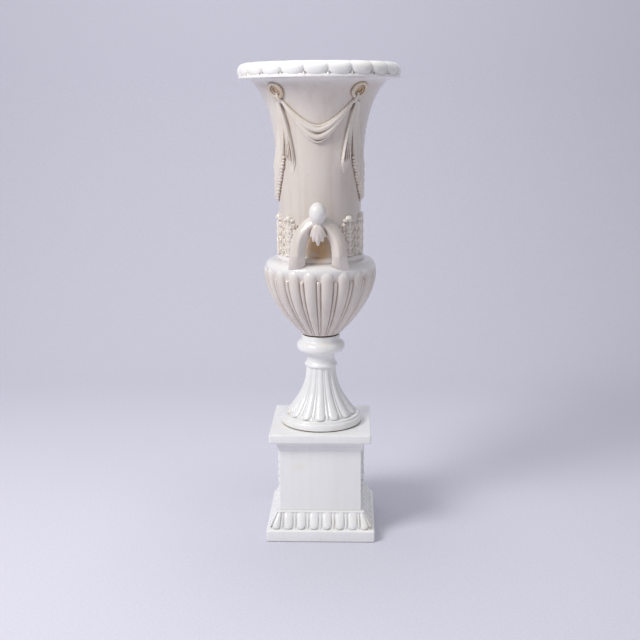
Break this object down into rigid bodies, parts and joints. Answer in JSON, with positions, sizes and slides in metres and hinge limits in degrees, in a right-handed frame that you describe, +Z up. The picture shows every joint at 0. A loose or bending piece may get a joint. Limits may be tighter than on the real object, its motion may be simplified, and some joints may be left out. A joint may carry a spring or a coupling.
{
  "type": "pedestal vase",
  "caption": "Glazed two-handled urn with a fluted foot, godrooned bowl and flared lobed rim, standing loose on a square plinth.",
  "frame": {"origin": "centre of the plinth's underside", "axes": "+Z up along the urn's axis, +Y and -Y through the two handles, +X through the plinth's wreath faces"},
  "size_m": [0.282, 0.284, 0.8472],
  "materials": {
    "glaze": "gloss",
    "plinth_glaze": "gloss",
    "felt": "matte",
    "cork": "matte",
    "rubber": "matte",
    "zinc_steel": "satin"
  },
  "bodies": {
    "plinth": {"plinth": "plinth_glaze", "wreath_left": "plinth_glaze", "wreath_right": "plinth_glaze"},
    "felt_ring": {"felt_ring": "felt"},
    "urn": {"stem_foot": "plinth_glaze", "vase_body": "glaze", "handle_front": "glaze", "handle_back": "glaze", "acanthus_left": "glaze", "acanthus_right": "glaze", "swag_front": "glaze", "swag_back": "glaze", "eye_front_right": "glaze", "eye_front_left": "glaze", "eye_back_right": "glaze", "eye_back_left": "glaze", "drape_front_right": "glaze", "drape_front_left": "glaze", "drape_back_right": "glaze", "drape_back_left": "glaze", "joint_gasket": "cork", "bolt_seal": "rubber", "clamp_bolt": "zinc_steel", "bolt_washer": "zinc_steel", "nut_washer": "zinc_steel", "clamp_nut": "zinc_steel"}
  },
  "joints": [
    {"name": "urn_turn", "type": "hinge", "parent": "plinth", "child": "felt_ring", "pos_m": [0, 0, 0.2012], "axis": [0, 0, 1], "continuous": true},
    {"name": "urn_lift", "type": "slide", "parent": "felt_ring", "child": "urn", "axis": [0, 0, 1], "range_m": [0, 0.06]}
  ]
}
